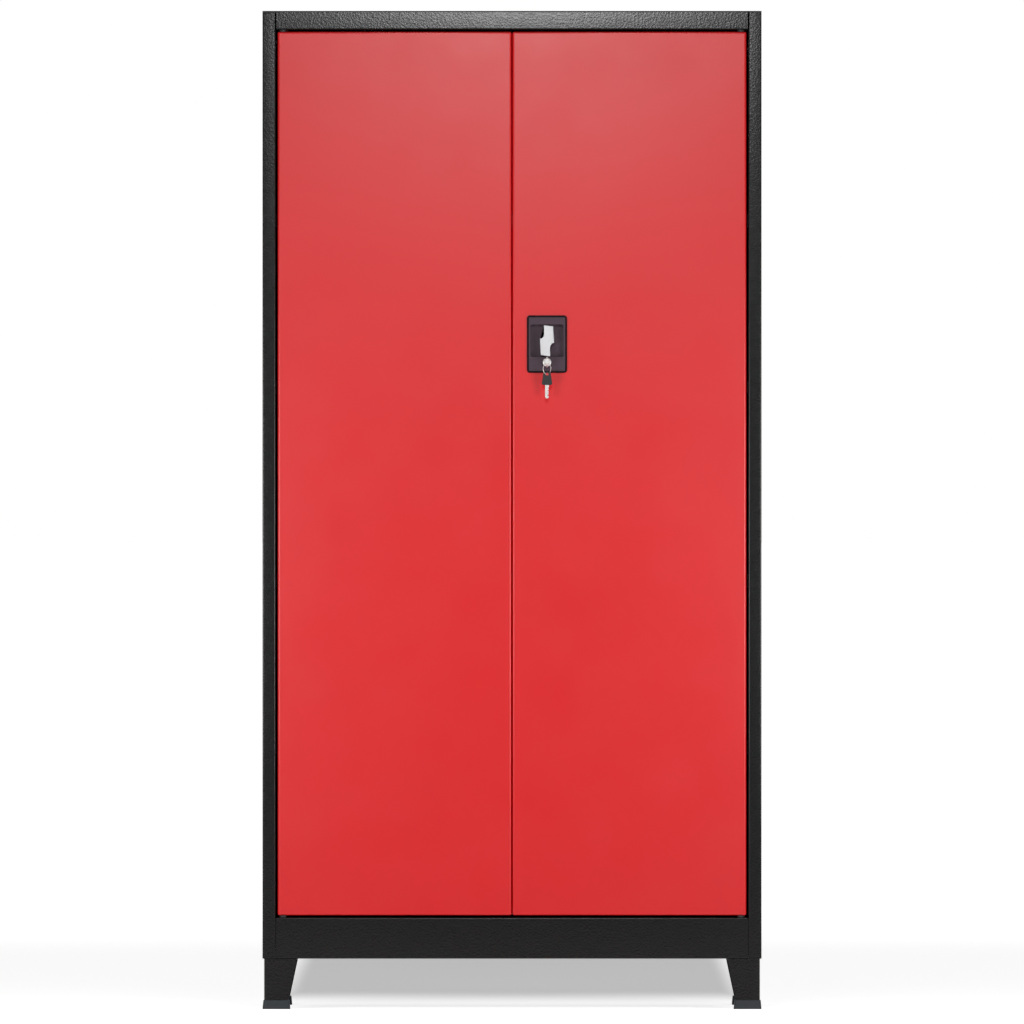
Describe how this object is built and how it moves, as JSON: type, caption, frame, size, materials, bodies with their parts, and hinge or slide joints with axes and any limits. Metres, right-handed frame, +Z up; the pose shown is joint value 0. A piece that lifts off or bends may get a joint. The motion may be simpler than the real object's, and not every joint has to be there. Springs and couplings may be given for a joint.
{
  "type": "tool cabinet",
  "caption": "Tall steel tool cabinet on feet: folded carcass, hinged doors set in flush, adjustable shelves, swivel-handle rod lock with key.",
  "frame": {"origin": "on the floor, under the middle of the space that the cabinet and its key take up", "axes": "+X to the right seen from the front, +Y from the doors to the back, +Z up"},
  "size_m": [0.9, 0.4299, 1.8],
  "materials": {
    "hammertone": "black hammertone powder coat",
    "red_powder": "red satin powder coat with a fine orange peel",
    "zinc_steel": "bright zinc plate",
    "silver_lacquer": "silver lacquer on a zinc die casting",
    "tray_plastic": "moulded charcoal plastic",
    "shoe_plastic": "moulded dark grey plastic",
    "nylon": "black moulded nylon",
    "key_bow": "black moulded bow on a plated blade"
  },
  "bodies": {
    "casing": {"left_side_panel": "hammertone", "right_side_panel": "hammertone", "left_back_panel": "hammertone", "right_back_panel": "hammertone", "top_panel": "hammertone", "bottom_panel": "hammertone", "front_left_foot": "hammertone", "front_right_foot": "hammertone", "rear_left_foot": "hammertone", "rear_right_foot": "hammertone", "front_left_foot_cap": "shoe_plastic", "front_right_foot_cap": "shoe_plastic", "rear_left_foot_cap": "shoe_plastic", "rear_right_foot_cap": "shoe_plastic", "shelf_1": "hammertone", "shelf_1_clip_front_left": "zinc_steel", "shelf_1_clip_front_right": "zinc_steel", "shelf_1_clip_rear_left": "zinc_steel", "shelf_1_clip_rear_right": "zinc_steel", "shelf_2": "hammertone", "shelf_2_clip_front_left": "zinc_steel", "shelf_2_clip_front_right": "zinc_steel", "shelf_2_clip_rear_left": "zinc_steel", "shelf_2_clip_rear_right": "zinc_steel", "shelf_3": "hammertone", "shelf_3_clip_front_left": "zinc_steel", "shelf_3_clip_front_right": "zinc_steel", "shelf_3_clip_rear_left": "zinc_steel", "shelf_3_clip_rear_right": "zinc_steel", "shelf_4": "hammertone", "shelf_4_clip_front_left": "zinc_steel", "shelf_4_clip_front_right": "zinc_steel", "shelf_4_clip_rear_left": "zinc_steel", "shelf_4_clip_rear_right": "zinc_steel", "upper_left_hinge_pin": "zinc_steel", "lower_left_hinge_pin": "zinc_steel", "upper_right_hinge_pin": "zinc_steel", "lower_right_hinge_pin": "zinc_steel"},
    "left_door": {"left_door": "red_powder", "left_door_stiffener": "zinc_steel", "upper_left_hinge_bush": "nylon", "lower_left_hinge_bush": "nylon"},
    "right_door": {"right_door": "red_powder", "right_door_stiffener": "zinc_steel", "upper_right_hinge_bush": "nylon", "lower_right_hinge_bush": "nylon", "lock_housing": "tray_plastic", "lock_barrel": "zinc_steel", "upper_rod_guide": "nylon", "lower_rod_guide": "nylon"},
    "handle": {"lever_handle": "silver_lacquer", "rod_driver": "zinc_steel"},
    "upper_rod": {"upper_rod": "zinc_steel"},
    "lower_rod": {"lower_rod": "zinc_steel"},
    "key": {"lock_plug": "zinc_steel", "plug_clip": "zinc_steel", "key_in_lock": "zinc_steel"},
    "key_ring": {"key_ring": "zinc_steel"},
    "spare_key": {"spare_key": "key_bow"}
  },
  "joints": [
    {"name": "left_door_hinge", "type": "hinge", "parent": "casing", "child": "left_door", "pos_m": [-0.4131, -0.17825, 0.9], "axis": [0, 0, -1], "range_deg": [0, 110]},
    {"name": "right_door_hinge", "type": "hinge", "parent": "casing", "child": "right_door", "pos_m": [0.4131, -0.17825, 0.9], "axis": [0, 0, 1], "range_deg": [0, 110]},
    {"name": "handle_turn", "type": "hinge", "parent": "right_door", "child": "handle", "pos_m": [0.0631, -0.18525, 1.2052], "axis": [0, -1, 0], "range_deg": [0, 90]},
    {"name": "upper_rod_slide", "type": "slide", "parent": "right_door", "child": "upper_rod", "axis": [0, 0, 1], "range_m": [0, 0.0213]},
    {"name": "lower_rod_slide", "type": "slide", "parent": "right_door", "child": "lower_rod", "axis": [0, 0, -1], "range_m": [0, 0.0213]},
    {"name": "key_turn", "type": "hinge", "parent": "right_door", "child": "key", "pos_m": [0.0631, -0.18525, 1.1663], "axis": [0, -1, 0], "range_deg": [0, 90]},
    {"name": "key_ring_swing", "type": "hinge", "parent": "key", "child": "key_ring", "pos_m": [0.0631, -0.20795, 1.1644], "axis": [-1, 0, 0], "range_deg": [-12, 45]},
    {"name": "spare_key_swing", "type": "hinge", "parent": "key_ring", "child": "spare_key", "pos_m": [0.0631, -0.20795, 1.1444], "axis": [0, -1, 0], "range_deg": [-25, 25]}
  ],
  "couplings": [
    {"joint": "upper_rod_slide", "follows": "handle_turn", "m_per_rad": 0.013505},
    {"joint": "lower_rod_slide", "follows": "handle_turn", "m_per_rad": 0.013505}
  ]
}
